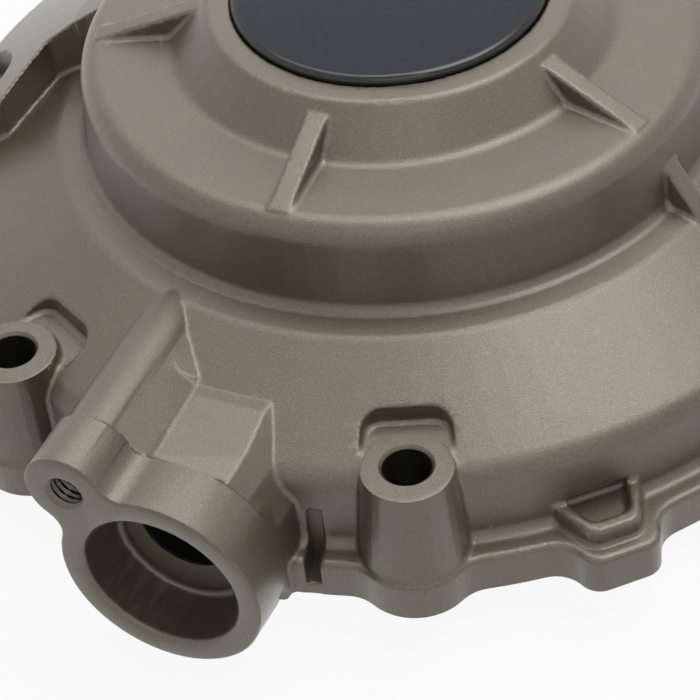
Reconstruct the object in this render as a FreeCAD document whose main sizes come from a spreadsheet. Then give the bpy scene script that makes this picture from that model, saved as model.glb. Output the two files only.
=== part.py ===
import FreeCAD, Part
import Sketcher
import os
from math import atan2, hypot, pi, sin, tan

# Stator cover: one aluminium casting with a bonded centre cap.
# Millimetres, +Z up. The gasket face lies on z = 0 and the crank axis is the Z axis.

SIZES = {
    # Flange and outer wall
    "flange_radius": 80.7, "flange_thickness": 6.7, "flange_round": 0.9,
    "rim_width": 4.3, "foot_fillet": 1.8,
    # Dome, stepped up to the plateau and the lip
    "wall_batter": 0.5, "shoulder_height": 19.0, "shoulder_round": 4.0,
    "ledge_width": 5.1, "ledge_outer_height": 28.7, "ledge_round": 4.0,
    "ledge_fall": 0.7, "ledge_fillet": 1.8,
    "plateau_radius": 50.0, "plateau_batter": 0.8, "plateau_height": 44.4, "plateau_round": 3.6,
    "cone_foot_radius": 35.2, "cone_foot_fillet": 2.5,
    "lip_radius": 29.0, "lip_rise": 6.9, "lip_round": 1.6,
    # Centre cap and its recess
    "cap_radius": 25.0, "cap_clearance": 0.15, "recess_depth": 1.2,
    "cap_thickness": 2.4, "cap_round": 1.1,
    # Cavity
    "wall": 4.2, "cavity_round": 2.0,
    # Bolt bosses on the rim
    "bolt_count": 7, "bolt_inset": 4.4, "bolt_angle": -95.0, "bolt_hole_radius": 3.6,
    "boss_height": 23.1, "boss_top_radius": 6.7, "boss_foot_radius": 8.7, "boss_edge": 0.5,
    "bulge_fillet": 6.0, "column_radius": 8.0,
    "pocket_reach": 10.9, "pocket_width": 15.0, "pocket_floor": 20.8, "pocket_round": 3.0,
    # Ribs between the plateau and the lip, and one gusset under the plateau
    "rib_count": 5, "rib_angle": -116.0, "rib_width": 3.6,
    "rib_inner_radius": 28.0, "rib_drop": 0.3, "rib_outer_radius": 47.6,
    "gusset_angle": -40.3, "gusset_width": 3.4, "gusset_drop": 4.5, "gusset_reach": 56.6,
    # Side port with its screw ear
    "port_angle": -117.7, "port_offset": -1.9, "port_height": 8.4, "port_overhang": 10.45,
    "port_bore_radius": 12.0, "port_bore_depth": 8.8, "port_seat_radius": 10.2, "port_edge": 0.9,
    "port_seat_depth": 0.9, "passage_radius": 7.6, "passage_height": 10.4,
    "collar_radius": 16.0, "collar_length": 9.6, "collar_step": 0.7, "collar_edge": 0.4,
    "ear_offset": -14.8, "ear_height": 23.1, "ear_radius": 6.5, "ear_fillet": 4.0,
    "screw_hole_radius": 2.5, "screw_hole_depth": 14.0, "screw_hole_edge": 0.7,
    # Saddle between the port and the dome: corners across and up, at the dome and at the collar
    "saddle_left": -6.1, "saddle_height": 24.6, "saddle_left_end": -5.5, "saddle_height_end": 23.4,
    "saddle_right": 8.4, "saddle_right_end": 4.6,
    "cheek_across": 12.6, "cheek_height": 22.0, "cheek_across_end": 8.9, "cheek_height_end": 19.2,
    "side_across": 17.2, "side_height": 18.8, "side_across_end": 12.3, "side_height_end": 13.6,
    "base_across": 17.6, "base_across_end": 13.2,
    "crankcase_clearance": 0.5,
    # Pry lug on the rim, with a scoop in its top, on a bulge of the flange
    "lug_angle": -74.3, "lug_overhang": 2.7, "lug_top": 9.9, "lug_inner_width": 13.4,
    "lug_outer_width": 7.4, "lug_round": 2.4,
    "scoop_floor": 8.2, "scoop_inset": 5.9, "scoop_length": 6.3, "scoop_width": 10.2, "scoop_round": 2.0,
    "tab_angle": -74.0, "tab_overhang": 5.4, "tab_corner_across": 3.1, "tab_round": 3.4, "tab_fillet": 5.0,
    # Narrow slot in the rim beside the port
    "slot_angle": -105.8, "slot_width": 2.2, "slot_inset": 5.5, "slot_top": 13.0,
    # Raised land on the far side
    "land_rise": 9.0, "land_swell": 1.4, "land_side": 19.6,
    "land_corner_x": 56.5, "land_toe_x": 65.0, "land_toe_y": 9.5, "land_end_angle": 101.0,
    "scallop_radius": 9.0,
    # Stator seat, posts and stiffeners inside the cavity
    "seat_radius": 24.0, "seat_bore_radius": 13.0, "seat_drop": 21.3,
    "seat_hole_circle": 18.5, "seat_hole_count": 3, "seat_hole_radius": 2.5, "seat_hole_depth": 13.0,
    "post_radius": 4.5, "post_inset": 13.9, "post_height": 13.5, "post_hole_radius": 2.1,
    "post_hole_depth": 8.0, "web_width": 3.0, "web_depth": 4.7,
}
FOLLOWING = {
    "foot_radius": "flange_radius - rim_width",
    "shoulder_radius": "foot_radius - wall_batter",
    "ledge_inner_radius": "plateau_radius + plateau_batter",
    "ledge_outer_radius": "ledge_inner_radius + ledge_width",
    "ledge_inner_height": "ledge_outer_height + ledge_fall",
    "lip_height": "plateau_height + lip_rise",
    "rib_inner_height": "lip_height - rib_drop",
    "gusset_top": "plateau_height - gusset_drop",
    "seat_height": "lip_height - seat_drop",
    "web_height": "plateau_height - wall - web_depth",
    "bolt_circle": "flange_radius - bolt_inset",
    "pocket_start": "bolt_circle - pocket_reach",
    "port_reach": "flange_radius + port_overhang",
    "lug_reach": "flange_radius + lug_overhang",
    "tab_reach": "flange_radius + tab_overhang",
    "scoop_start": "flange_radius - scoop_inset",
    "slot_start": "flange_radius - slot_inset",
    "land_radius": "foot_radius + land_swell",
    "post_circle": "shoulder_radius - post_inset",
}
POST_ANGLES = (-84.0, 52.0, 68.0)

doc = FreeCAD.newDocument("stator_cover")
sheet = doc.addObject("Spreadsheet::Sheet", "sizes")
for row, (alias, value) in enumerate(SIZES.items(), start=1):
    sheet.set("A%d" % row, alias)
    sheet.set("B%d" % row, str(value))
    sheet.setAlias("B%d" % row, alias)
for row, (alias, formula) in enumerate(FOLLOWING.items(), start=len(SIZES) + 1):
    sheet.set("A%d" % row, alias)
    sheet.set("B%d" % row, "=" + formula)
    sheet.setAlias("B%d" % row, alias)
doc.recompute()

Z_AXIS = FreeCAD.Vector(0, 0, 1)
X_AXIS = FreeCAD.Vector(1, 0, 0)
ORIGIN = FreeCAD.Vector(0, 0, 0)
UPRIGHT = FreeCAD.Rotation(X_AXIS, 90)


def size(alias):
    return float(sheet.get(alias))


def turned(angle):
    return FreeCAD.Placement(ORIGIN, FreeCAD.Rotation(Z_AXIS, angle))


def bind(thing, **formulas):
    for name, formula in formulas.items():
        thing.setExpression(name.replace("__", "."), formula)
    return thing


def put(thing, x="0", y="0", z="0"):
    for axis, formula in zip("xyz", (x, y, z)):
        thing.setExpression("Placement.Base." + axis, formula)
    return thing


def cylinder(name, radius, height, x="0", y="0", z="0"):
    return put(bind(doc.addObject("Part::Cylinder", name), Radius=radius, Height=height), x, y, z)


def cone(name, low_radius, high_radius, height, x="0", y="0", z="0"):
    return put(bind(doc.addObject("Part::Cone", name), Radius1=low_radius, Radius2=high_radius,
                    Height=height), x, y, z)


def box(name, length, width, height, x="0", y="0", z="0"):
    return put(bind(doc.addObject("Part::Box", name), Length=length, Width=width, Height=height), x, y, z)


def fused(name, shapes):
    thing = doc.addObject("Part::MultiFuse", name)
    thing.Shapes = list(shapes)
    return thing


def cut(name, base, tool):
    thing = doc.addObject("Part::Cut", name)
    thing.Base, thing.Tool = base, tool
    return thing


def copies(name, original, angles):
    """Links to one feature, turned about the crank axis."""
    links = []
    for number, angle in enumerate(angles, start=1):
        link = doc.addObject("App::Link", "%s_%d" % (name, number))
        link.LinkedObject = original
        link.LinkTransform = True
        link.Placement = turned(angle)
        links.append(link)
    return links


def evaluate(formula):
    return 0.0 if formula is None else float(sheet.evalExpression(formula))


def fix_point(sketch, piece, end, place, formulas):
    """Ties a point to a place given by two formulas; None keeps it on the axis."""
    for axis, kind, value, formula in ((-2, "DistanceX", place.x, formulas[0]),
                                       (-1, "DistanceY", place.y, formulas[1])):
        if formula is None:
            sketch.addConstraint(Sketcher.Constraint("PointOnObject", piece, end, axis))
        else:
            number = sketch.addConstraint(Sketcher.Constraint(kind, -1, 1, piece, end, value))
            sketch.setExpression("Constraints[%d]" % number, formula)


def polygon(sketch, corners):
    """A closed outline. A corner is two formulas for its place, and a third for its rounding."""
    places = [FreeCAD.Vector(evaluate(corner[0]), evaluate(corner[1]), 0) for corner in corners]
    count = len(places)
    before, after, arcs = list(places), list(places), {}
    for number, corner in enumerate(corners):
        if len(corner) < 3:
            continue
        place = places[number]
        back = (places[number - 1] - place).normalize()
        ahead = (places[(number + 1) % count] - place).normalize()
        half = back.getAngle(ahead) / 2
        radius = evaluate(corner[2])
        before[number] = place + back * (radius / tan(half))
        after[number] = place + ahead * (radius / tan(half))
        centre = place + (back + ahead).normalize() * (radius / sin(half))
        left_turn = (back.x * ahead.y - back.y * ahead.x) < 0
        first, last = (before[number], after[number]) if left_turn else (after[number], before[number])
        start, end = [atan2(point.y - centre.y, point.x - centre.x) for point in (first, last)]
        circle = Part.Circle(centre, Z_AXIS, radius)
        arcs[number] = (circle, start, end if end > start else end + 2 * pi, left_turn)
    for number in range(count):
        sketch.addGeometry(Part.LineSegment(after[number], before[(number + 1) % count]), False)
    for number, corner in enumerate(corners):
        line_in, line_out = (number - 1) % count, number
        if number not in arcs:
            sketch.addConstraint(Sketcher.Constraint("Coincident", line_in, 2, line_out, 1))
            fix_point(sketch, line_out, 1, places[number], corner)
            continue
        circle, start, end, left_turn = arcs[number]
        arc = sketch.addGeometry(Part.ArcOfCircle(circle, start, end), False)
        virtual = sketch.addGeometry(Part.Point(places[number]), True)
        sketch.addConstraint(Sketcher.Constraint("Tangent", line_in, 2, arc, 1 if left_turn else 2))
        sketch.addConstraint(Sketcher.Constraint("Tangent", line_out, 1, arc, 2 if left_turn else 1))
        for line in (line_in, line_out):
            sketch.addConstraint(Sketcher.Constraint("PointOnObject", virtual, 1, line))
        rounding = sketch.addConstraint(Sketcher.Constraint("Radius", arc, circle.Radius))
        sketch.setExpression("Constraints[%d]" % rounding, corner[2])
        fix_point(sketch, virtual, 1, places[number], corner)


def plane_of(body, role):
    return [part for part in body.Origin.OriginFeatures if part.Role == role][0]


def turned_body(name, corners):
    """A body of revolution about the crank axis, from a profile of radius and height."""
    body = doc.addObject("PartDesign::Body", name)
    sketch = body.newObject("Sketcher::SketchObject", name + "_profile")
    sketch.AttachmentSupport = [(plane_of(body, "XZ_Plane"), "")]
    sketch.MapMode = "FlatFace"
    polygon(sketch, corners)
    turn = body.newObject("PartDesign::Revolution", name + "_turn")
    turn.Profile = sketch
    turn.ReferenceAxis = (sketch, ["V_Axis"])
    turn.Angle = 360
    sketch.Visibility = False
    doc.recompute()
    return body


def padded_body(name, corners, height):
    """A straight pad on the XY plane."""
    body = doc.addObject("PartDesign::Body", name)
    sketch = body.newObject("Sketcher::SketchObject", name + "_outline")
    sketch.AttachmentSupport = [(plane_of(body, "XY_Plane"), "")]
    sketch.MapMode = "FlatFace"
    polygon(sketch, corners)
    pad = body.newObject("PartDesign::Pad", name + "_pad")
    pad.Profile = sketch
    bind(pad, Length=height)
    doc.recompute()
    return body


def round_uprights(body, name, radius, inside_x):
    """Rounds the upright edges of a pad on the side beyond or short of a radius."""
    tip = body.Tip
    names = []
    for number, edge in enumerate(tip.Shape.Edges, start=1):
        first, last = edge.Vertexes[0].Point, edge.Vertexes[-1].Point
        upright = abs(first.x - last.x) < 1e-6 and abs(first.y - last.y) < 1e-6
        if upright and inside_x(first.x):
            names.append("Edge%d" % number)
    fillet = body.newObject("PartDesign::Fillet", name)
    fillet.Base = (tip, names)
    bind(fillet, Radius=radius)
    doc.recompute()
    return fillet


def outer_form():
    """The turned outside: flange, wall, dome, ledge, plateau, cone and lip."""
    s = "sizes."
    return turned_body("outer_form", [
        (None, None), (s + "foot_radius + sizes.rim_width / 2", None),
        (s + "foot_radius + sizes.rim_width / 2", s + "flange_thickness"),
        (s + "foot_radius", s + "flange_thickness", s + "foot_fillet"),
        (s + "shoulder_radius", s + "shoulder_height", s + "shoulder_round"),
        (s + "ledge_outer_radius", s + "ledge_outer_height", s + "ledge_round"),
        (s + "ledge_inner_radius", s + "ledge_inner_height", s + "ledge_fillet"),
        (s + "plateau_radius", s + "plateau_height", s + "plateau_round"),
        (s + "cone_foot_radius", s + "plateau_height", s + "cone_foot_fillet"),
        (s + "lip_radius", s + "lip_height", s + "lip_round"), (None, s + "lip_height")])


def cavity_form():
    """The hollow, one wall inside the outer form."""
    recess_roof = "sizes.lip_height - sizes.recess_depth - sizes.wall"
    inside = "sizes.shoulder_radius - sizes.wall"
    return turned_body("cavity_form", [
        (None, "-1"), (inside, "-1"),
        (inside, "sizes.shoulder_height - 0.7 * sizes.wall", "sizes.cavity_round"),
        ("sizes.ledge_outer_radius - 0.7 * sizes.wall", "sizes.ledge_outer_height - sizes.wall"),
        ("sizes.plateau_radius - sizes.wall", "sizes.ledge_inner_height - sizes.wall"),
        ("sizes.plateau_radius - sizes.wall", "sizes.plateau_height - sizes.wall", "sizes.cavity_round"),
        ("sizes.cone_foot_radius - 0.7 * sizes.wall", "sizes.plateau_height - sizes.wall"),
        ("sizes.lip_radius - 0.7 * sizes.wall", recess_roof), (None, recess_roof)])


def land():
    """Low raised land on the far side of the dome, following its slope."""
    rise = "sizes.land_rise"
    raised = turned_body("raised_dome", [
        (None, "sizes.flange_thickness / 2"), ("sizes.land_radius", "sizes.flange_thickness / 2"),
        ("sizes.land_radius - 0.6", "sizes.shoulder_height + 0.5 * " + rise, "sizes.shoulder_round"),
        ("sizes.ledge_outer_radius", "sizes.ledge_outer_height + " + rise),
        ("sizes.plateau_radius - 3", "sizes.plateau_height - 2"), (None, "sizes.plateau_height - 2")])
    ends = [("-sizes.land_toe_x", "sizes.land_toe_y"), ("-sizes.land_corner_x", "sizes.land_side"),
            ("-sizes.plateau_radius + 8", "sizes.land_side"),
            ("(sizes.plateau_radius - 8) * cos(sizes.land_end_angle)",
             "(sizes.plateau_radius - 8) * sin(sizes.land_end_angle)"),
            ("90 * cos(sizes.land_end_angle)", "90 * sin(sizes.land_end_angle)"),
            ("-90", "90"), ("-90", "sizes.land_toe_y")]
    plan = padded_body("land_plan", ends, "sizes.plateau_height")
    shape = doc.addObject("Part::MultiCommon", "land")
    shape.Shapes = [raised, plan]
    return shape


def blend_to_rim(circle_x, circle_y, radius, fillet, side):
    """Hollow arc between the rim and a circle that stands over it: rim end, middle, circle end."""
    rim = size("flange_radius")
    away = hypot(circle_x, circle_y)
    across = ((rim + fillet) ** 2 - (radius + fillet) ** 2 + away ** 2) / (2 * away)
    aside = side * ((rim + fillet) ** 2 - across ** 2) ** 0.5
    along = FreeCAD.Vector(circle_x, circle_y, 0).normalize()
    beside = FreeCAD.Vector(-along.y, along.x, 0)
    centre = along * across + beside * aside
    on_rim = centre * (rim / (rim + fillet))
    circle = FreeCAD.Vector(circle_x, circle_y, 0)
    on_circle = circle + (centre - circle).normalize() * radius
    middle = centre + ((on_rim - centre) + (on_circle - centre)).normalize() * fillet
    return on_rim, middle, on_circle


def boss_bulge():
    """Edges of the flange round one bolt boss on the X axis, from rim to rim."""
    bolt, radius = size("bolt_circle"), size("boss_foot_radius")
    rim_a, middle_a, end_a = blend_to_rim(bolt, 0, radius, size("bulge_fillet"), -1)
    rim_b, middle_b, end_b = blend_to_rim(bolt, 0, radius, size("bulge_fillet"), 1)
    nose = FreeCAD.Vector(bolt + radius, 0, 0)
    return rim_a, rim_b, [Part.Arc(rim_a, middle_a, end_a).toShape(), Part.Arc(end_a, nose, end_b).toShape(),
                          Part.Arc(end_b, middle_b, rim_b).toShape()]


def lug_bulge():
    """Edges of the flange under the pry lug, on the X axis, with two rounded corners."""
    radius, across = size("tab_round"), size("tab_corner_across")
    centre_x = size("tab_reach") - radius
    rim_a, middle_a, end_a = blend_to_rim(centre_x, -across, radius, size("tab_fillet"), -1)
    rim_b, middle_b, end_b = blend_to_rim(centre_x, across, radius, size("tab_fillet"), 1)
    low, high = FreeCAD.Vector(centre_x, -across, 0), FreeCAD.Vector(centre_x, across, 0)
    outward = FreeCAD.Vector(radius, 0, 0)
    corner_a = low + ((end_a - low) + outward).normalize() * radius
    corner_b = high + ((end_b - high) + outward).normalize() * radius
    return rim_a, rim_b, [
        Part.Arc(rim_a, middle_a, end_a).toShape(), Part.Arc(end_a, corner_a, low + outward).toShape(),
        Part.makeLine(low + outward, high + outward), Part.Arc(high + outward, corner_b, end_b).toShape(),
        Part.Arc(end_b, middle_b, rim_b).toShape()]


def flange_plate():
    """Flange with its bolt bulges and the lug bulge, rounded along the top edge."""
    bumps = [(angle, boss_bulge()) for angle in bolt_angles] + [(size("tab_angle"), lug_bulge())]
    bumps.sort(key=lambda bump: bump[0])
    rim = size("flange_radius")
    edges = []
    ends = []
    for angle, (start, end, pieces) in bumps:
        place = turned(angle)
        for piece in pieces:
            moved = piece.copy()
            moved.Placement = place
            edges.append(moved)
        ends.append((place.multVec(start), place.multVec(end)))
    for number, (start, end) in enumerate(ends):
        after = ends[(number + 1) % len(ends)][0]
        middle = (end + after).normalize() * rim
        edges.append(Part.Arc(end, middle, after).toShape())
    outline = Part.Wire(Part.__sortEdges__(edges))
    solid = Part.Face(outline).extrude(FreeCAD.Vector(0, 0, size("flange_thickness")))
    top = [edge for edge in solid.Edges
           if min(vertex.Z for vertex in edge.Vertexes) > size("flange_thickness") - 1e-6]
    plate = doc.addObject("Part::Feature", "flange_plate")
    plate.Shape = solid.makeFillet(size("flange_round"), top)
    return plate


def rim_boss():
    """Tapered bolt boss on the X axis, with a small edge at the top."""
    boss = cone("rim_boss", "sizes.boss_foot_radius - 0.1", "sizes.boss_top_radius",
                "sizes.boss_height - 0.5", x="sizes.bolt_circle", z="0.5")
    trim = doc.addObject("Part::Chamfer", "rim_boss_edge")
    trim.Base = boss
    doc.recompute()
    edges = [number for number, edge in enumerate(boss.Shape.Edges, start=1)
             if hasattr(edge.Curve, "Radius") and abs(edge.Curve.Radius - size("boss_top_radius")) < 1e-6]
    trim.Edges = [(number, size("boss_edge"), size("boss_edge")) for number in edges]
    return trim


def relief_pocket():
    """Flat-floored clearance cut into the dome behind one bolt boss."""
    half = "sizes.pocket_width / 2"
    body = padded_body("relief_pocket", [
        ("sizes.pocket_start", "-%s + 1.2" % half), ("sizes.bolt_circle", "-" + half),
        ("sizes.tab_reach + 10", "-" + half), ("sizes.tab_reach + 10", half),
        ("sizes.bolt_circle", half), ("sizes.pocket_start", half + " - 1.2")],
        "sizes.boss_height + 20 - sizes.pocket_floor")
    near = size("pocket_start") + 1
    round_uprights(body, "relief_pocket_corners", "sizes.pocket_round", lambda x: x < near)
    return put(body, z="sizes.pocket_floor")


def rib():
    """Flat-topped bar that falls from the lip to the plateau."""
    body = doc.addObject("PartDesign::Body", "lip_rib")
    sketch = body.newObject("Sketcher::SketchObject", "lip_rib_side")
    sketch.AttachmentSupport = [(plane_of(body, "XZ_Plane"), "")]
    sketch.MapMode = "FlatFace"
    polygon(sketch, [
        ("sizes.rib_inner_radius - 2", "sizes.plateau_height - 1"),
        ("sizes.rib_outer_radius", "sizes.plateau_height - 1"),
        ("sizes.rib_outer_radius", "sizes.plateau_height"),
        ("sizes.rib_inner_radius + 1.5", "sizes.rib_inner_height"),
        ("sizes.rib_inner_radius - 2", "sizes.rib_inner_height")])
    pad = body.newObject("PartDesign::Pad", "lip_rib_pad")
    pad.Profile = sketch
    bind(pad, Length="sizes.rib_width")
    pad.Midplane = True
    return body


def gusset():
    """Small triangular web between the ledge and the wall above it."""
    body = doc.addObject("PartDesign::Body", "ledge_gusset")
    sketch = body.newObject("Sketcher::SketchObject", "ledge_gusset_side")
    sketch.AttachmentSupport = [(plane_of(body, "XZ_Plane"), "")]
    sketch.MapMode = "FlatFace"
    polygon(sketch, [
        ("sizes.plateau_radius - 2", "sizes.ledge_outer_height - 3"),
        ("sizes.gusset_reach", "sizes.ledge_outer_height - 3"),
        ("sizes.gusset_reach", "sizes.ledge_outer_height"),
        ("sizes.plateau_radius - 2", "sizes.gusset_top")])
    pad = body.newObject("PartDesign::Pad", "ledge_gusset_pad")
    pad.Profile = sketch
    bind(pad, Length="sizes.gusset_width")
    pad.Midplane = True
    body.Placement = turned(size("gusset_angle"))
    return body


def port_face_outline():
    """Figure of eight round the port and its ear, as four tangent arcs."""
    big, small, blend = size("collar_radius"), size("ear_radius"), size("ear_fillet")
    port = FreeCAD.Vector(size("port_offset"), size("port_height"), 0)
    ear = FreeCAD.Vector(size("ear_offset"), size("ear_height"), 0)
    apart = (ear - port).Length
    along = (ear - port).normalize()
    aside = FreeCAD.Vector(-along.y, along.x, 0)
    reach = ((big + blend) ** 2 - (small + blend) ** 2 + apart ** 2) / (2 * apart)
    offset = ((big + blend) ** 2 - reach ** 2) ** 0.5
    hollows = []
    for side in (1, -1):
        centre = port + along * reach + aside * (side * offset)
        on_port = port + (centre - port).normalize() * big
        on_ear = ear + (centre - ear).normalize() * small
        middle = centre + ((on_port - centre) + (on_ear - centre)).normalize() * blend
        hollows.append((on_port, middle, on_ear))
    (port_a, middle_a, ear_a), (port_b, middle_b, ear_b) = hollows
    return Part.Wire([
        Part.Arc(port_a, middle_a, ear_a).toShape(),
        Part.Arc(ear_a, ear + along * small, ear_b).toShape(),
        Part.Arc(ear_b, middle_b, port_b).toShape(),
        Part.Arc(port_b, port - along * big, port_a).toShape()])


def port_collar():
    """Machined end of the port, a straight extrusion with a small edge."""
    collar = doc.addObject("Part::Feature", "port_collar")
    solid = Part.Face(port_face_outline()).extrude(FreeCAD.Vector(0, 0, size("collar_length")))
    front = [edge for edge in solid.Edges
             if min(v.Z for v in edge.Vertexes) > size("collar_length") - 1e-6]
    collar.Shape = solid.makeChamfer(size("collar_edge"), front)
    collar.Placement = FreeCAD.Placement(
        FreeCAD.Vector(0, 0, size("port_reach") - size("collar_length")), FreeCAD.Rotation())
    return collar


def saddle(start, length):
    """Block from the port to the dome. It widens into a cheek on the right, so it is lofted."""
    sections = []
    for tag, place in (("", start), ("_end", "%s + %s" % (start, length))):
        section = doc.addObject("Sketcher::SketchObject", "saddle_section" + tag)
        polygon(section, [
            ("sizes.saddle_left%s - 3" % tag, None), ("sizes.saddle_left%s - 3" % tag, "sizes.saddle_height" + tag),
            ("sizes.saddle_right" + tag, "sizes.saddle_height" + tag),
            ("sizes.cheek_across" + tag, "sizes.cheek_height" + tag),
            ("sizes.side_across" + tag, "sizes.side_height" + tag), ("sizes.base_across" + tag, None)])
        put(section, z=place)
        sections.append(section)
    doc.recompute()
    block = doc.addObject("Part::Loft", "saddle")
    block.Sections = sections
    block.Solid = True
    block.Ruled = True
    return block


def port_form():
    """Everything cast round the port. Local X runs across, Y up and Z out of the mouth."""
    start = "sizes.plateau_radius - sizes.wall"
    back = "sizes.port_reach - sizes.collar_length / 2 - (%s)" % start
    tube = cylinder("port_tube", "sizes.collar_radius - sizes.collar_step", back,
                    x="sizes.port_offset", y="sizes.port_height", z=start)
    ridge = cylinder("port_ridge", "sizes.ear_radius - sizes.collar_step", back,
                     x="sizes.ear_offset", y="sizes.ear_height", z=start)
    ridge_radius = "(sizes.ear_radius - sizes.collar_step)"
    length = "sizes.port_reach - sizes.collar_length - (%s)" % start
    flank = padded_body("ridge_flank", [
        ("sizes.ear_offset - %s" % ridge_radius, None),
        ("sizes.ear_offset - %s" % ridge_radius, "sizes.ear_height"),
        ("sizes.ear_offset", "sizes.ear_height + 0.9 * %s" % ridge_radius),
        ("sizes.ear_offset + 0.56 * %s" % ridge_radius, "sizes.ear_height + 0.79 * %s" % ridge_radius),
        ("sizes.saddle_left", "sizes.saddle_height"), ("sizes.saddle_left", None)], length)
    put(flank, z=start)
    whole = fused("port_form", [tube, ridge, flank, saddle(start, length), port_collar()])
    whole.Placement = FreeCAD.Placement(
        ORIGIN, FreeCAD.Rotation(Z_AXIS, size("port_angle") + 90) * UPRIGHT)
    return whole


def port_cuts():
    """Stepped bore, its passage into the cavity and the tapped hole in the ear."""
    mouth = "sizes.port_reach"
    bore = cylinder("port_bore", "sizes.port_bore_radius", "sizes.port_bore_depth + 1",
                    x="sizes.port_offset", y="sizes.port_height", z=mouth + " - sizes.port_bore_depth")
    edge = cone("port_mouth", "sizes.port_bore_radius", "sizes.port_bore_radius + 2 * sizes.port_edge",
                "2 * sizes.port_edge", x="sizes.port_offset", y="sizes.port_height",
                z=mouth + " - sizes.port_edge")
    seat = cylinder("port_seat", "sizes.port_seat_radius", "sizes.port_seat_depth + 1",
                    x="sizes.port_offset", y="sizes.port_height",
                    z=mouth + " - sizes.port_bore_depth - sizes.port_seat_depth")
    passage_start = "sizes.seat_radius + 20"
    passage = cylinder("port_passage", "sizes.passage_radius",
                       "%s - sizes.port_bore_depth - (%s)" % (mouth, passage_start),
                       x="sizes.port_offset", y="sizes.passage_height", z=passage_start)
    screw = cylinder("ear_hole", "sizes.screw_hole_radius", "sizes.screw_hole_depth + 1",
                     x="sizes.ear_offset", y="sizes.ear_height",
                     z=mouth + " - sizes.screw_hole_depth")
    screw_edge = cone("ear_hole_edge", "sizes.screw_hole_radius",
                      "sizes.screw_hole_radius + 2 * sizes.screw_hole_edge", "2 * sizes.screw_hole_edge",
                      x="sizes.ear_offset", y="sizes.ear_height", z=mouth + " - sizes.screw_hole_edge")
    whole = fused("port_cuts", [bore, edge, seat, passage, screw, screw_edge])
    whole.Placement = FreeCAD.Placement(
        ORIGIN, FreeCAD.Rotation(Z_AXIS, size("port_angle") + 90) * UPRIGHT)
    return whole


def trapezium(inner_radius, reach, inner_width, outer_width):
    """Outline of a lug on the X axis, wide at the wall and narrow outside."""
    neck = "(%s + 0.35 * (%s - %s))" % (inner_radius, reach, inner_radius)
    return [(inner_radius, "-%s / 2" % inner_width), (neck, "-%s / 2" % inner_width),
            (reach, "-%s / 2" % outer_width), (reach, "%s / 2" % outer_width),
            (neck, "%s / 2" % inner_width), (inner_radius, "%s / 2" % inner_width)]


def pry_lug():
    """Lug for levering the cover off."""
    lug = padded_body("pry_lug_block", trapezium(
        "(sizes.foot_radius - 3)", "sizes.lug_reach", "sizes.lug_inner_width", "sizes.lug_outer_width"),
        "sizes.lug_top")
    outside = size("foot_radius") + 1
    round_uprights(lug, "pry_lug_corners", "sizes.lug_round", lambda x: x > outside)
    lug.Placement = turned(size("lug_angle"))
    return lug


def pry_scoop():
    """Shallow scoop in the top of the lug, with round ends."""
    half = "sizes.scoop_width / 2"
    scoop = padded_body("pry_scoop", [
        ("sizes.scoop_start", "-" + half),
        ("sizes.scoop_start + sizes.scoop_length", "-0.6 * " + half, "sizes.scoop_round"),
        ("sizes.scoop_start + sizes.scoop_length", "0.6 * " + half, "sizes.scoop_round"),
        ("sizes.scoop_start", half)], "sizes.lug_top - sizes.scoop_floor + 0.6")
    scoop.Placement = FreeCAD.Placement(FreeCAD.Vector(0, 0, size("scoop_floor")),
                                        FreeCAD.Rotation(Z_AXIS, size("lug_angle")))
    return scoop


def rim_slot():
    """Narrow upright slot in the rim beside the port."""
    half = "sizes.slot_width / 2"
    slot = padded_body("rim_slot", [
        ("sizes.slot_start", "-" + half), ("sizes.flange_radius + 4", "-" + half),
        ("sizes.flange_radius + 4", half), ("sizes.slot_start", half)], "sizes.slot_top + 1")
    slot.Placement = FreeCAD.Placement(FreeCAD.Vector(0, 0, -1),
                                       FreeCAD.Rotation(Z_AXIS, size("slot_angle")))
    return slot


def inner_solids():
    """What stands in the cavity: bolt columns, stator seat, posts and stiffening webs."""
    roof = "sizes.lip_height - sizes.recess_depth - sizes.wall / 2"
    column = cylinder("bolt_column", "sizes.column_radius", "sizes.shoulder_height + 1",
                      x="sizes.bolt_circle", z="-1")
    seat = cylinder("stator_seat", "sizes.seat_radius", "%s - sizes.seat_height" % roof, z="sizes.seat_height")
    post = cylinder("post", "sizes.post_radius", "sizes.ledge_outer_height - sizes.wall / 2 - sizes.post_height",
                    x="sizes.post_circle", z="sizes.post_height")
    web = box("web", "sizes.plateau_radius - sizes.seat_radius", "sizes.web_width",
              "sizes.plateau_height - sizes.wall / 2 - sizes.web_height",
              x="sizes.seat_radius - 1", y="-sizes.web_width / 2", z="sizes.web_height")
    return (copies("bolt_columns", column, bolt_angles) + [seat] + copies("posts", post, POST_ANGLES)
            + copies("webs", web, rib_angles))


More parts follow.
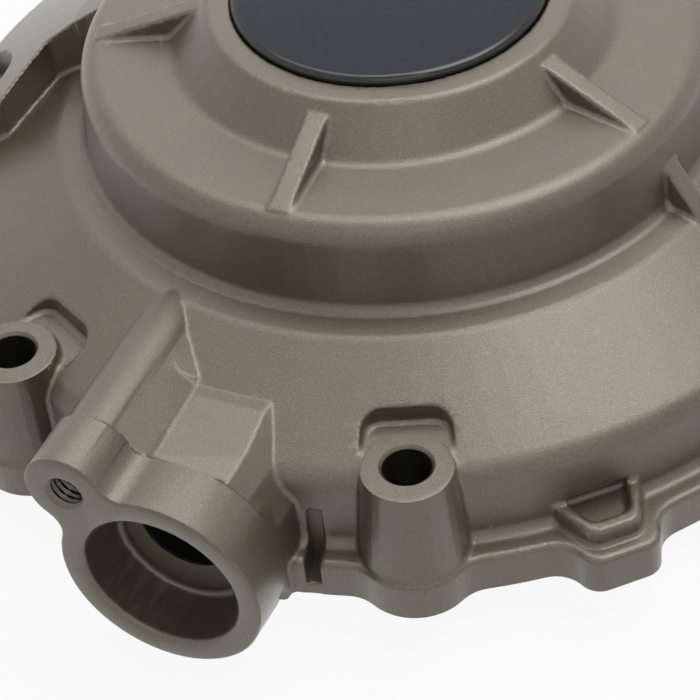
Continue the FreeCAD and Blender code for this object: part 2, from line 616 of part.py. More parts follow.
def fastener_holes():
    """Through holes on the rim and the blind tapped holes inside."""
    hole = cylinder("bolt_hole", "sizes.bolt_hole_radius", "sizes.boss_height + 2",
                    x="sizes.bolt_circle", z="-1")
    lead = cone("bolt_hole_lead", "sizes.bolt_hole_radius", "sizes.bolt_hole_radius + 1.2", "1.2",
                x="sizes.bolt_circle", z="sizes.boss_height - 0.6")
    seat_hole = cylinder("seat_hole", "sizes.seat_hole_radius", "sizes.seat_hole_depth + 1",
                         x="sizes.seat_hole_circle", z="sizes.seat_height - 1")
    seat_bore = cylinder("seat_bore", "sizes.seat_bore_radius",
                         "sizes.lip_height - sizes.recess_depth - sizes.wall - sizes.seat_height + 1",
                         z="sizes.seat_height - 1")
    post_hole = cylinder("post_hole", "sizes.post_hole_radius", "sizes.post_hole_depth + 1",
                         x="sizes.post_circle", z="sizes.post_height - 1")
    seat_angles = [-90 + number * 360 / size("seat_hole_count")
                   for number in range(int(size("seat_hole_count")))]
    return (copies("bolt_holes", fused("bolt_hole_unit", [hole, lead]), bolt_angles)
            + copies("seat_holes", seat_hole, seat_angles) + [seat_bore]
            + copies("post_holes", post_hole, POST_ANGLES))


def cover_casting():
    recess = cylinder("cap_recess", "sizes.cap_radius + sizes.cap_clearance", "sizes.recess_depth + 1",
                      z="sizes.lip_height - sizes.recess_depth")
    relieved = cut("relieved_form", outer_form(), fused("relief_pockets",
                   copies("pocket", relief_pocket(), bolt_angles)))
    scallop = cylinder("land_scallop", "sizes.scallop_radius", "sizes.plateau_height",
                       x="sizes.bolt_circle", z="sizes.pocket_floor")
    blank = cut("blank", fused("form_with_land", [relieved, land()]), fused("land_scallops",
                copies("land_scallop", scallop, [bolt_angles[4], bolt_angles[5]])))
    crankcase = cylinder("crankcase_side", "sizes.flange_radius + sizes.crankcase_clearance",
                         "sizes.collar_radius", z="-sizes.collar_radius")
    port = cut("port_above_joint", port_form(), crankcase)
    outside = fused("outside", [blank, flange_plate(), port, gusset(), pry_lug()]
                    + copies("boss", rim_boss(), bolt_angles) + copies("rib", rib(), rib_angles))
    hollow = cut("hollow", cavity_form(), fused("inner_solids", inner_solids()))
    cuts = fused("cuts", [hollow, recess, port_cuts(), pry_scoop(), rim_slot()] + fastener_holes())
    return cut("cover_casting", outside, cuts)


def centre_cap():
    """Plain round cap bonded into the recess of the lip."""
    body = turned_body("centre_cap", [
        (None, None), ("sizes.cap_radius", None),
        ("sizes.cap_radius", "sizes.cap_thickness", "sizes.cap_round"), (None, "sizes.cap_thickness")])
    return put(body, z="sizes.lip_height - sizes.recess_depth")


bolt_angles = [size("bolt_angle") + number * 360 / size("bolt_count")
               for number in range(int(size("bolt_count")))]
rib_angles = [size("rib_angle") + number * 360 / size("rib_count")
              for number in range(int(size("rib_count")))]

nodes = {"cover_casting": cover_casting(), "centre_cap": centre_cap()}
doc.recompute()

faults = [thing.Name for thing in doc.Objects if "Invalid" in thing.State or "Error" in thing.State]
if faults:
    raise RuntimeError("objects that failed: " + ", ".join(faults))
os.makedirs("parts", exist_ok=True)
for name, node in nodes.items():
    node.Label = name
    shape = node.Shape
    if shape.isNull() or not shape.isValid():
        raise RuntimeError("bad shape: " + name)
    print(name, "solids", len(shape.Solids), "faces", len(shape.Faces), "volume", round(shape.Volume, 1),
          "box", [round(value, 2) for value in (shape.BoundBox.XMin, shape.BoundBox.YMin, shape.BoundBox.ZMin,
                                                shape.BoundBox.XMax, shape.BoundBox.YMax, shape.BoundBox.ZMax)])
    shape.exportStep("parts/%s.step" % name)
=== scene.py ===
import bpy
from math import atan2, cos, hypot, pi, radians, sin
from mathutils import Matrix, Vector


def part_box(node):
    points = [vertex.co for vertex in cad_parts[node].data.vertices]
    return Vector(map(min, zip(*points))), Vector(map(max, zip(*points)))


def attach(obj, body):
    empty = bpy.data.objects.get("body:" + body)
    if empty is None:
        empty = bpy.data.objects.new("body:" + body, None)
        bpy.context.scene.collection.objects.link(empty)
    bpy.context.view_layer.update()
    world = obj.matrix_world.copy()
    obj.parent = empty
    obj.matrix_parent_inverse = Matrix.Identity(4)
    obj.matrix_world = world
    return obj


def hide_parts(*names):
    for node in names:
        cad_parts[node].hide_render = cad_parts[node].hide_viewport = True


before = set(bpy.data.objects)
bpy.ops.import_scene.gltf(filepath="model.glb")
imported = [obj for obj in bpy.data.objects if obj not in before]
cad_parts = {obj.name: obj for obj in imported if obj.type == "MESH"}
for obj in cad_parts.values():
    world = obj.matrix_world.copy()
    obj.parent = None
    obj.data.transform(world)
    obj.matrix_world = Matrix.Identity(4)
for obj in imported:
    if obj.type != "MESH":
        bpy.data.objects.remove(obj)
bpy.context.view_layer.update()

# Places on the cover, in metres, as in the part's source.
BOLT_CIRCLE = 0.0763
BOLT_ANGLES = [radians(-95 + number * 360 / 7) for number in range(7)]
BOLT_HOLE_RADIUS = 0.0036
PORT_ANGLE = radians(-117.7)
PORT_OUT = Vector((cos(PORT_ANGLE), sin(PORT_ANGLE), 0))
PORT_ACROSS = Vector((-sin(PORT_ANGLE), cos(PORT_ANGLE), 0))
PORT_OFFSET = -0.0019
PORT_HEIGHT = 0.0084
EAR_OFFSET = -0.0148
EAR_HEIGHT = 0.0231
SLOT_ANGLE = radians(-105.8)
SLOT_FLOOR = 0.0022
RIB_ANGLES = [radians(-116 + number * 72) for number in range(5)]
STOCK = 0.0010
BOSS_TOP = 0.0231
UP = Vector((0, 0, 1))
# The hollow of the casting as radius and height, half a millimetre outside its walls.
CAVITY_PROFILE = [(0.0, 0.0464), (0.0260, 0.0464), (0.0328, 0.0407), (0.0463, 0.0407), (0.0464, 0.0257),
                  (0.0535, 0.0250), (0.0722, 0.0165)]


def port_place(out, across, up):
    return PORT_OUT * out + PORT_ACROSS * across + Vector((0, 0, up))


# Working steps

def select_only(piece):
    bpy.ops.object.select_all(action="DESELECT")
    piece.select_set(True)
    bpy.context.view_layer.objects.active = piece


def apply_modifier(piece, kind, **settings):
    select_only(piece)
    modifier = piece.modifiers.new(kind.title(), kind)
    for name, value in settings.items():
        setattr(modifier, name, value)
    bpy.ops.object.modifier_apply(modifier=modifier.name)


def fix_in_place(piece):
    select_only(piece)
    bpy.ops.object.transform_apply(location=True, rotation=True, scale=True)


def cutting_rod(radius, depth, middle, direction, far_radius=None, vertices=96):
    """A round rod or cone that stands across a machined hole."""
    bpy.ops.object.select_all(action="DESELECT")
    turn = Vector((0, 0, 1)).rotation_difference(direction).to_euler()
    bpy.ops.mesh.primitive_cone_add(
        vertices=vertices, radius1=radius, radius2=radius if far_radius is None else far_radius,
        depth=depth, location=middle, rotation=turn)
    rod = bpy.context.object
    fix_in_place(rod)
    return rod


# Finishes

def node_at(tree, kind, x, y, **inputs):
    node = tree.nodes.new(kind)
    node.location = (x, y)
    for name, value in inputs.items():
        node.inputs[name.replace("_", " ")].default_value = value
    return node


def new_finish(name, **settings):
    finish = bpy.data.materials.new(name)
    finish.use_nodes = True
    shader = finish.node_tree.nodes["Principled BSDF"]
    for socket, value in settings.items():
        shader.inputs[socket.replace("_", " ")].default_value = value
    return finish, finish.node_tree, shader


def colour_steps(tree, x, y, stops):
    ramp = tree.nodes.new("ShaderNodeValToRGB")
    ramp.location = (x, y)
    bands = ramp.color_ramp.elements
    while len(bands) < len(stops):
        bands.new(0.5)
    for band, (place, colour) in zip(bands, stops):
        band.position = place
        band.color = (*colour, 1)
    return ramp


def flecked_bronze():
    """Satin bronze paint: fine bright flecks in a brown metallic base, under a clear coat."""
    finish, tree, shader = new_finish("flecked_bronze_paint", Metallic=0.6, Coat_Weight=1.0,
                                      Coat_Roughness=0.30, Coat_IOR=1.5)
    place = node_at(tree, "ShaderNodeTexCoord", -1300, 0)
    flecks = node_at(tree, "ShaderNodeTexNoise", -1000, 250, Scale=7000.0, Detail=1.0, Roughness=0.6)
    clouds = node_at(tree, "ShaderNodeTexNoise", -1000, -50, Scale=45.0, Detail=3.0, Roughness=0.5)
    grain = node_at(tree, "ShaderNodeTexNoise", -1000, -350, Scale=6500.0, Detail=1.0, Roughness=0.5)
    for pattern in (flecks, clouds, grain):
        tree.links.new(place.outputs["Object"], pattern.inputs["Vector"])
    fleck_colour = colour_steps(tree, -760, 250, [
        (0.32, (0.086, 0.066, 0.042)), (0.52, (0.118, 0.094, 0.062)), (0.64, (0.150, 0.124, 0.086)),
        (0.76, (0.228, 0.200, 0.150))])
    tree.links.new(flecks.outputs["Fac"], fleck_colour.inputs["Fac"])
    tone = colour_steps(tree, -760, -50, [(0.3, (0.94, 0.94, 0.94)), (0.7, (1.05, 1.05, 1.05))])
    tree.links.new(clouds.outputs["Fac"], tone.inputs["Fac"])
    blend = tree.nodes.new("ShaderNodeMixRGB")
    blend.location = (-460, 150)
    blend.blend_type = "MULTIPLY"
    blend.inputs["Fac"].default_value = 1.0
    tree.links.new(fleck_colour.outputs["Color"], blend.inputs["Color1"])
    tree.links.new(tone.outputs["Color"], blend.inputs["Color2"])
    tree.links.new(blend.outputs["Color"], shader.inputs["Base Color"])
    gloss = node_at(tree, "ShaderNodeMapRange", -460, -120)
    gloss.inputs["To Min"].default_value = 0.56
    gloss.inputs["To Max"].default_value = 0.46
    tree.links.new(flecks.outputs["Fac"], gloss.inputs["Value"])
    tree.links.new(gloss.outputs["Result"], shader.inputs["Roughness"])
    relief = node_at(tree, "ShaderNodeBump", -460, -380, Strength=0.30, Distance=0.0001)
    tree.links.new(grain.outputs["Fac"], relief.inputs["Height"])
    for socket in ("Normal", "Coat Normal"):
        tree.links.new(relief.outputs["Normal"], shader.inputs[socket])
    return finish


def cap_face_finish():
    """Smooth slate blue face of the centre cap."""
    finish, tree, shader = new_finish("slate_cap_face", Roughness=0.34, Specular_IOR_Level=0.15)
    place = node_at(tree, "ShaderNodeTexCoord", -900, 0)
    grain = node_at(tree, "ShaderNodeTexNoise", -700, 0, Scale=900.0, Detail=2.0)
    tree.links.new(place.outputs["Object"], grain.inputs["Vector"])
    tone = colour_steps(tree, -450, 0, [(0.35, (0.025, 0.030, 0.041)), (0.65, (0.029, 0.034, 0.046))])
    tree.links.new(grain.outputs["Fac"], tone.inputs["Fac"])
    tree.links.new(tone.outputs["Color"], shader.inputs["Base Color"])
    return finish


def cap_edge_finish():
    finish, tree, shader = new_finish("black_cap_edge", Roughness=0.16, Base_Color=(0.006, 0.006, 0.007, 1))
    place = node_at(tree, "ShaderNodeTexCoord", -900, 0)
    grain = node_at(tree, "ShaderNodeTexNoise", -700, 0, Scale=400.0, Detail=2.0)
    tree.links.new(place.outputs["Object"], grain.inputs["Vector"])
    gloss = node_at(tree, "ShaderNodeMapRange", -450, 0)
    gloss.inputs["To Min"].default_value = 0.12
    gloss.inputs["To Max"].default_value = 0.2
    tree.links.new(grain.outputs["Fac"], gloss.inputs["Value"])
    tree.links.new(gloss.outputs["Result"], shader.inputs["Roughness"])
    return finish


def painted_shade_bore_finish():
    """Near-black painted shade deep in the port and in the tapped holes."""
    finish, tree, shader = new_finish("painted_shade_bore_wall", Metallic=0.3, Roughness=0.5)
    place = node_at(tree, "ShaderNodeTexCoord", -900, 0)
    grain = node_at(tree, "ShaderNodeTexNoise", -700, 0, Scale=700.0, Detail=3.0)
    tree.links.new(place.outputs["Object"], grain.inputs["Vector"])
    tone = colour_steps(tree, -450, 0, [(0.3, (0.010, 0.009, 0.008)), (0.7, (0.020, 0.018, 0.016))])
    tree.links.new(grain.outputs["Fac"], tone.inputs["Fac"])
    tree.links.new(tone.outputs["Color"], shader.inputs["Base Color"])
    return finish


def machined_metal(name, tone, roughness, scale):
    """Bare aluminium with fine tool marks."""
    finish, tree, shader = new_finish(name, Metallic=0.9)
    place = node_at(tree, "ShaderNodeTexCoord", -900, 0)
    marks = node_at(tree, "ShaderNodeTexNoise", -700, 0, Scale=scale, Detail=3.0)
    tree.links.new(place.outputs["Object"], marks.inputs["Vector"])
    shade = colour_steps(tree, -450, 100, [(0.35, [0.85 * part for part in tone]), (0.65, tone)])
    tree.links.new(marks.outputs["Fac"], shade.inputs["Fac"])
    tree.links.new(shade.outputs["Color"], shader.inputs["Base Color"])
    gloss = node_at(tree, "ShaderNodeMapRange", -450, -200)
    gloss.inputs["To Min"].default_value = roughness - 0.06
    gloss.inputs["To Max"].default_value = roughness + 0.06
    tree.links.new(marks.outputs["Fac"], gloss.inputs["Value"])
    tree.links.new(gloss.outputs["Result"], shader.inputs["Roughness"])
    return finish


paint = flecked_bronze()
bare_metal = machined_metal("machined_aluminium", (0.50, 0.49, 0.47), 0.38, 900.0)
# the thread is the same machined aluminium, its tone darkened as painted shade of the tapped hole
thread_metal_shaded_dark = machined_metal("cut_thread_painted_shade", (0.11, 0.10, 0.09), 0.32, 1500.0)
slate = cap_face_finish()
black_edge = cap_edge_finish()
# near-black painted shade for the tapped holes and the port's passage
bore_painted_shade = painted_shade_bore_finish()


# The casting

def merged_copy(name):
    """A merged copy of the casting's solid, free of the frame."""
    select_only(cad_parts["cover_casting"])
    bpy.ops.object.duplicate()
    piece = bpy.context.object
    piece.name = name
    piece.parent = None
    for key in list(piece.keys()):
        del piece[key]
    bpy.ops.object.mode_set(mode="EDIT")
    bpy.ops.mesh.select_all(action="SELECT")
    bpy.ops.mesh.remove_doubles(threshold=0.00001)
    bpy.ops.object.mode_set(mode="OBJECT")
    piece.data.materials.clear()
    piece.data.materials.append(paint)
    return piece


def cavity_roof(radius):
    """Height just above the hollow, for a distance from the crank axis."""
    for (near, low), (far, high) in zip(CAVITY_PROFILE, CAVITY_PROFILE[1:]):
        if near <= radius < far:
            return low + (high - low) * (radius - near) / (far - near)
    return -1.0


def cast_skin(sharp):
    """The casting with soft cast edges: remeshed and smoothed, then laid back on the true faces."""
    select_only(sharp)
    bpy.ops.object.duplicate()
    piece = bpy.context.object
    piece.name = "painted_casting"
    apply_modifier(piece, "REMESH", mode="VOXEL", voxel_size=0.00040, adaptivity=0.0)
    apply_modifier(piece, "SMOOTH", factor=0.5, iterations=6)
    everywhere = range(len(piece.data.vertices))
    piece.vertex_groups.new(name="on_the_form").add(everywhere, 1.0, "REPLACE")
    apply_modifier(piece, "VERTEX_WEIGHT_PROXIMITY", vertex_group="on_the_form", target=sharp,
                   proximity_mode="GEOMETRY", proximity_geometry={"FACE"}, min_dist=0.00015,
                   max_dist=0.00005)
    apply_modifier(piece, "SHRINKWRAP", target=sharp, wrap_method="NEAREST_SURFACEPOINT",
                   vertex_group="on_the_form")
    hidden = [vertex.index for vertex in piece.data.vertices
              if vertex.co.z < cavity_roof(hypot(vertex.co.x, vertex.co.y))]
    group = piece.vertex_groups.new(name="hidden_side")
    group.add(everywhere, 0.0, "REPLACE")
    group.add(hidden, 1.0, "REPLACE")
    share = 1 - len(hidden) / len(piece.data.vertices)
    apply_modifier(piece, "DECIMATE", ratio=share + 0.04, vertex_group="hidden_side", vertex_group_factor=2.0)
    apply_modifier(piece, "DECIMATE", ratio=165000 / max(len(piece.data.polygons), 165000))
    piece.vertex_groups.clear()
    return piece


def block(low, high, turn=0.0):
    """A straight block between two corners, turned about the crank axis."""
    bpy.ops.object.select_all(action="DESELECT")
    bpy.ops.mesh.primitive_cube_add(size=1)
    piece = bpy.context.object
    piece.scale = [top - bottom for bottom, top in zip(low, high)]
    middle = Vector([(top + bottom) / 2 for bottom, top in zip(low, high)])
    piece.location = Matrix.Rotation(turn, 3, "Z") @ middle
    piece.rotation_euler = (0, 0, turn)
    fix_in_place(piece)
    return piece


def side_prism(corners, width, turn):
    """A flat prism from four corners of radius and height, standing along a line out from the crank axis."""
    bpy.ops.object.select_all(action="DESELECT")
    bpy.ops.mesh.primitive_circle_add(vertices=4, radius=1, fill_type="NGON")
    piece = bpy.context.object
    for vertex, (radius, height) in zip(piece.data.vertices, corners):
        vertex.co = (radius, width / 2, height)
    bpy.ops.object.mode_set(mode="EDIT")
    bpy.ops.mesh.select_all(action="SELECT")
    bpy.ops.mesh.extrude_region_move(TRANSFORM_OT_translate={"value": (0, -width, 0)})
    bpy.ops.mesh.select_all(action="SELECT")
    bpy.ops.mesh.normals_make_consistent(inside=False)
    bpy.ops.object.mode_set(mode="OBJECT")
    piece.rotation_euler = (0, 0, turn)
    fix_in_place(piece)
    return piece


def port_wedge(near, far):
    """A four-sided bar along the port, from one section of corners to another."""
    bpy.ops.object.select_all(action="DESELECT")
    bpy.ops.mesh.primitive_circle_add(vertices=4, radius=1, fill_type="NGON")
    piece = bpy.context.object
    marks = [vertex.co.copy() for vertex in piece.data.vertices]
    bpy.ops.object.mode_set(mode="EDIT")
    bpy.ops.mesh.select_all(action="SELECT")
    bpy.ops.mesh.extrude_region_move(TRANSFORM_OT_translate={"value": (0, 0, 1)})
    bpy.ops.object.mode_set(mode="OBJECT")
    for vertex in piece.data.vertices:
        out, corners = far if vertex.co.z > 0.5 else near
        level = Vector((vertex.co.x, vertex.co.y, 0))
        number = min(range(4), key=lambda corner: (marks[corner] - level).length)
        vertex.co = port_place(out, *corners[number])
    bpy.ops.object.mode_set(mode="EDIT")
    bpy.ops.mesh.select_all(action="SELECT")
    bpy.ops.mesh.normals_make_consistent(inside=False)
    bpy.ops.object.mode_set(mode="OBJECT")
    return piece


def bolt_spot(angle, height):
    return Vector((cos(angle) * BOLT_CIRCLE, sin(angle) * BOLT_CIRCLE, height))


def fettle(form):
    """Small corrections that the photograph shows, and stock for machining, before the edges are softened."""
    for vertex in form.data.vertices:
        if abs(vertex.co.z) < 0.000001:
            vertex.co.z = -STOCK
        near_bolt = any((vertex.co - bolt_spot(angle, vertex.co.z)).length < 0.0078 for angle in BOLT_ANGLES)
        if near_bolt and abs(vertex.co.z - BOSS_TOP) < 0.00002:
            vertex.co.z = BOSS_TOP + STOCK
    combine(form, block((0.0740, -0.0014, -STOCK), (0.0806, 0.0014, SLOT_FLOOR), SLOT_ANGLE), "UNION")
    combine(form, port_wedge(
        (0.0675, ((-0.00560, 0.02390), (0.0095, 0.02390), (0.0095, 0.031), (-0.0056, 0.031))),
        (0.08156, ((-0.00545, 0.02342), (0.0095, 0.02160), (0.0095, 0.031), (-0.00545, 0.031)))), "DIFFERENCE")
    combine(form, port_wedge(
        (0.0655, ((-0.01155, 0.02785), (-0.00575, 0.02396), (-0.00575, 0.031), (-0.01155, 0.031))),
        (0.08156, ((-0.01155, 0.02772), (-0.00545, 0.02342), (-0.00545, 0.031), (-0.01155, 0.031)))),
        "DIFFERENCE")
    for angle in RIB_ANGLES:
        combine(form, side_prism([(0.03035, 0.0498), (0.0479, 0.04435), (0.0490, 0.0470), (0.0280, 0.0524)],
                                 0.0042, angle), "DIFFERENCE")


def collar_room(lift):
    """Room round the port's collar, which keeps its crisp edges."""
    return block((0.08156 + lift, -0.025, -0.012), (0.098, 0.020, 0.034), PORT_ANGLE)


def facing_cutter(angle):
    """Cuts one boss top flat, with a fine edge."""
    cutter = cutting_rod(0.0080, 0.0035, bolt_spot(angle, 0.0243), UP)
    combine(cutter, cutting_rod(0.00700, 0.0010, bolt_spot(angle, BOSS_TOP - 0.0005), UP, far_radius=0.00625),
            "DIFFERENCE")
    cutter.data.materials.append(paint)
    return cutter


def combine(piece, other, operation):
    apply_modifier(piece, "BOOLEAN", operation=operation, solver="EXACT", object=other,
                   material_mode="TRANSFER")
    bpy.data.objects.remove(other)


def threaded_rod(radius, height, pitch, length, start, finish):
    """A rod with a helical ridge, to cut a thread along the port's direction."""
    around, steps = 48, 10
    rise = pitch / steps
    bpy.ops.object.select_all(action="DESELECT")
    bpy.ops.mesh.primitive_circle_add(vertices=around, radius=radius, fill_type="NGON")
    rod = bpy.context.object
    bpy.ops.object.mode_set(mode="EDIT")
    bpy.ops.mesh.select_all(action="SELECT")
    for step in range(int(length / rise)):
        bpy.ops.mesh.extrude_region_move(TRANSFORM_OT_translate={"value": (0, 0, rise)})
    bpy.ops.mesh.select_all(action="SELECT")
    bpy.ops.mesh.normals_make_consistent(inside=False)
    bpy.ops.object.mode_set(mode="OBJECT")
    for vertex in rod.data.vertices:
        angle = atan2(vertex.co.y, vertex.co.x)
        phase = (vertex.co.z / pitch - angle / (2 * pi)) % 1.0
        reach = radius + height * (1 - abs(2 * phase - 1))
        vertex.co.x = cos(angle) * reach
        vertex.co.y = sin(angle) * reach
    rod.rotation_euler = Vector((0, 0, 1)).rotation_difference(PORT_OUT).to_euler()
    rod.location = start
    fix_in_place(rod)
    rod.data.materials.append(finish)
    return rod


def finished_rod(finish, *settings, **more):
    rod = cutting_rod(*settings, **more)
    rod.data.materials.append(finish)
    return rod


def machine_the_casting(piece, sharp):
    """Planes the joint face and gives the port, the boss tops and the holes their crisp edges."""
    table = block((-0.1, -0.1, -0.02), (0.1, 0.1, 0.00003))
    table.data.materials.append(bare_metal)
    combine(piece, table, "DIFFERENCE")
    combine(piece, finished_rod(bare_metal, 0.0237, 0.020, Vector((0, 0, 0.02003)), UP), "DIFFERENCE")
    combine(piece, joined([facing_cutter(angle) for angle in BOLT_ANGLES]), "DIFFERENCE")
    for angle in BOLT_ANGLES:
        # each tapped hole is lined with near-black painted shade
        combine(piece, finished_rod(bore_painted_shade, BOLT_HOLE_RADIUS + 0.00002, 0.0300, bolt_spot(angle, 0.0110), UP),
                "DIFFERENCE")
    combine(piece, finished_rod(paint, 0.0119, 0.0012, port_place(0.0816, PORT_OFFSET, PORT_HEIGHT), PORT_OUT),
            "DIFFERENCE")
    combine(sharp, collar_room(0.0), "INTERSECT")
    combine(piece, collar_room(0.0002), "DIFFERENCE")
    combine(piece, sharp, "UNION")
    slot = block((0.0752, -0.0011, SLOT_FLOOR), (0.090, 0.0011, 0.013), SLOT_ANGLE)
    slot.data.materials.append(paint)
    combine(piece, slot, "DIFFERENCE")
    # the port's passage is lined with near-black painted shade
    combine(piece, finished_rod(bore_painted_shade, 0.00775, 0.0237, port_place(0.06945, PORT_OFFSET, 0.0104), PORT_OUT),
            "DIFFERENCE")
    leads = [finished_rod(paint, BOLT_HOLE_RADIUS, 0.0012, bolt_spot(angle, BOSS_TOP + 0.0001), UP,
                          far_radius=0.0048) for angle in BOLT_ANGLES]
    combine(piece, joined(leads), "DIFFERENCE")
    # the cut thread's finish is darkened with painted shade
    combine(piece, threaded_rod(0.00252, 0.00045, 0.001, 0.0125, port_place(0.0778, EAR_OFFSET, EAR_HEIGHT),
                                thread_metal_shaded_dark), "DIFFERENCE")
    joined([piece, bore_seat()])


def bore_seat():
    """The thin wall with a round opening that ends the port's bore."""
    seat = finished_rod(paint, 0.0121, 0.00042, port_place(0.08141, PORT_OFFSET, PORT_HEIGHT), PORT_OUT)
    combine(seat, cutting_rod(0.0076, 0.002, port_place(0.08141, PORT_OFFSET, 0.0104), PORT_OUT), "DIFFERENCE")
    return seat


def joined(pieces):
    select_only(pieces[0])
    for piece in pieces:
        piece.select_set(True)
    if len(pieces) > 1:
        bpy.ops.object.join()
    return pieces[0]


form = merged_copy("true_form")
fettle(form)
casting = cast_skin(form)
machine_the_casting(casting, form)
select_only(casting)
bpy.ops.object.shade_smooth_by_angle(angle=radians(38))
apply_modifier(casting, "WEIGHTED_NORMAL", mode="FACE_AREA", weight=50, keep_sharp=True)
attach(casting, "root")
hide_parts("cover_casting")


# The centre cap

def centre_disc():
    """Flat round cap with a rounded edge, turned from one disc."""
    low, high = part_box("centre_cap")
    thickness = high.z - low.z
    radius = (high.x - low.x) / 2
    bpy.ops.object.select_all(action="DESELECT")
    bpy.ops.mesh.primitive_cylinder_add(vertices=192, radius=radius, depth=thickness,
                                        location=(0, 0, low.z + thickness / 2))
    piece = bpy.context.object
    piece.name = "round_cap"
    fix_in_place(piece)
    bpy.ops.object.mode_set(mode="EDIT")
    bpy.ops.mesh.select_mode(type="EDGE")
    bpy.ops.mesh.select_all(action="DESELECT")
    bpy.ops.object.mode_set(mode="OBJECT")
    for edge in piece.data.edges:
        ends = [piece.data.vertices[number].co for number in edge.vertices]
        edge.select = min(end.z for end in ends) > high.z - 1e-5
    bpy.ops.object.mode_set(mode="EDIT")
    bpy.ops.mesh.bevel(offset=0.00105, segments=8, profile=0.5, affect="EDGES")
    bpy.ops.object.mode_set(mode="OBJECT")
    piece.data.materials.append(slate)
    piece.data.materials.append(black_edge)
    for face in piece.data.polygons:
        face.material_index = 0 if face.normal.z > 0.999 else 1
    select_only(piece)
    bpy.ops.object.shade_smooth_by_angle(angle=radians(30))
    return piece


disc = centre_disc()
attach(disc, "root")
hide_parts("centre_cap")


# Floor, light and camera

def floor_and_backdrop():
    """Pale plane that touches the port's underside and the far side of the rim, painted near-black under the
    cover as painted shade.
    """
    finish, tree, shader = new_finish("pale_floor", Base_Color=(0.9, 0.9, 0.9, 1), Roughness=0.9)
    path = node_at(tree, "ShaderNodeLightPath", -600, 300)
    white = node_at(tree, "ShaderNodeEmission", -200, 200)
    blend = node_at(tree, "ShaderNodeMixShader", 200, 100)
    place = node_at(tree, "ShaderNodeTexCoord", -1200, 0)
    distance = node_at(tree, "ShaderNodeVectorMath", -1000, 0)
    distance.operation = "LENGTH"
    tree.links.new(place.outputs["Object"], distance.inputs[0])
    # within 71 mm of the crank axis the floor is painted near-black as painted shade under the cover, and its
    # white glow is masked off there
    outside_shade_disc = node_at(tree, "ShaderNodeMath", -800, 0)
    outside_shade_disc.operation = "GREATER_THAN"
    outside_shade_disc.inputs[1].default_value = 0.071
    tree.links.new(distance.outputs["Value"], outside_shade_disc.inputs[0])
    shade = colour_steps(tree, -800, -300, [(0.0, (0.01, 0.01, 0.01)), (1.0, (0.9, 0.9, 0.9))])
    tree.links.new(outside_shade_disc.outputs["Value"], shade.inputs["Fac"])
    tree.links.new(shade.outputs["Color"], shader.inputs["Base Color"])
    seen = node_at(tree, "ShaderNodeMath", -600, 100)
    seen.operation = "MAXIMUM"
    tree.links.new(path.outputs["Is Camera Ray"], seen.inputs[0])
    tree.links.new(path.outputs["Is Glossy Ray"], seen.inputs[1])
    masked = node_at(tree, "ShaderNodeMath", -400, 100)
    masked.operation = "MULTIPLY"
    tree.links.new(seen.outputs["Value"], masked.inputs[0])
    tree.links.new(outside_shade_disc.outputs["Value"], masked.inputs[1])
    half = node_at(tree, "ShaderNodeMath", -200, 400)
    half.operation = "MULTIPLY"
    half.inputs[1].default_value = 0.92
    tree.links.new(masked.outputs["Value"], half.inputs[0])
    tree.links.new(half.outputs["Value"], blend.inputs["Fac"])
    tree.links.new(shader.outputs["BSDF"], blend.inputs[1])
    tree.links.new(white.outputs["Emission"], blend.inputs[2])
    tree.links.new(blend.outputs["Shader"], tree.nodes["Material Output"].inputs["Surface"])
    drop, reach = 0.0077, 0.171
    bpy.ops.object.select_all(action="DESELECT")
    bpy.ops.mesh.primitive_plane_add(size=6, location=(0, 0, -0.00388))
    floor = bpy.context.object
    floor.name = "pale_floor"
    slope = Vector((PORT_OUT.x * drop / reach, PORT_OUT.y * drop / reach, 1)).normalized()
    floor.rotation_euler = Vector((0, 0, 1)).rotation_difference(slope).to_euler()
    floor.data.materials.append(finish)


def soft_lamp(name, place, target, width, depth, watts, colour=(1, 1, 1)):
    bpy.ops.object.select_all(action="DESELECT")
    bpy.ops.object.light_add(type="AREA", location=place)
    lamp = bpy.context.object
    lamp.name = name
    lamp.data.shape = "RECTANGLE"
    lamp.data.size = width
    lamp.data.size_y = depth
    lamp.data.energy = watts
    lamp.data.color = colour
    lamp.rotation_euler = (Vector(target) - Vector(place)).to_track_quat("-Z", "Y").to_euler()
    return lamp


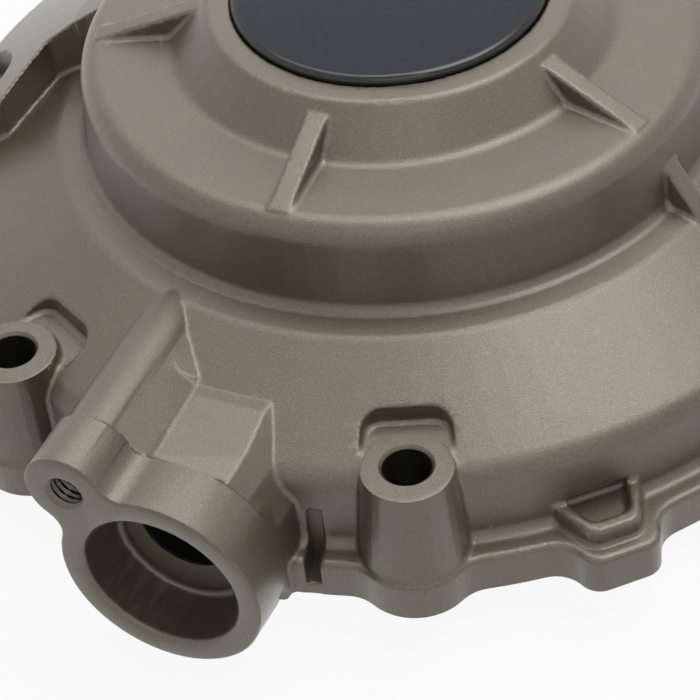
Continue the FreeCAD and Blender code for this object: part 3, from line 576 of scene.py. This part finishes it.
def studio_sky():
    """Even pale light all round, white where the camera sees it."""
    world = bpy.data.worlds.new("studio")
    world.use_nodes = True
    tree = world.node_tree
    background = tree.nodes["Background"]
    background.inputs["Color"].default_value = (1, 1, 1, 1)
    path = node_at(tree, "ShaderNodeLightPath", -600, 0)
    level = node_at(tree, "ShaderNodeMapRange", -300, 0)
    level.inputs["To Min"].default_value = 0.10
    level.inputs["To Max"].default_value = 1.0
    seen = node_at(tree, "ShaderNodeMath", -450, 0)
    seen.operation = "MAXIMUM"
    tree.links.new(path.outputs["Is Camera Ray"], seen.inputs[0])
    tree.links.new(path.outputs["Is Glossy Ray"], seen.inputs[1])
    tree.links.new(seen.outputs["Value"], level.inputs["Value"])
    tree.links.new(level.outputs["Result"], background.inputs["Strength"])
    bpy.context.scene.world = world


def photo_camera():
    """Camera at the photograph's angle: 43 degrees above the gasket face, rolled by 6.7 degrees."""
    data = bpy.data.cameras.new("photo_camera")
    data.lens = 126.7
    data.sensor_width = 36
    data.sensor_fit = "HORIZONTAL"
    data.clip_start = 0.01
    data.clip_end = 20
    camera = bpy.data.objects.new("photo_camera", data)
    bpy.context.scene.collection.objects.link(camera)
    right = Vector((0.9931, -0.0802, -0.0855))
    up = Vector((0.1172, 0.6796, 0.7242))
    back = right.cross(up).normalized()
    camera.matrix_world = Matrix((
        (right.x, up.x, back.x, -0.01270),
        (right.y, up.y, back.y, -0.31826),
        (right.z, up.z, back.z, 0.27386),
        (0, 0, 0, 1)))
    bpy.context.scene.camera = camera


floor_and_backdrop()
studio_sky()
soft_lamp("right_softbox", (0.337, 0.0, 0.854), (0, 0, 0.02), 0.5, 0.5, 3.2)
soft_lamp("back_right_softbox", (0.169, 0.292, 0.854), (0, 0, 0.02), 0.5, 0.5, 1.4)
soft_lamp("back_left_softbox", (-0.169, 0.292, 0.854), (0, 0, 0.02), 0.5, 0.5, 1.4)
soft_lamp("low_back_softbox", (0.0, 0.856, 0.298), (0, 0, 0.02), 0.5, 0.5, 0.5)
soft_lamp("front_fill", (0.0, -0.636, 0.656), (0, 0, 0.02), 0.5, 0.5, 0.5)
photo_camera()
bpy.context.scene.view_settings.view_transform = "Standard"
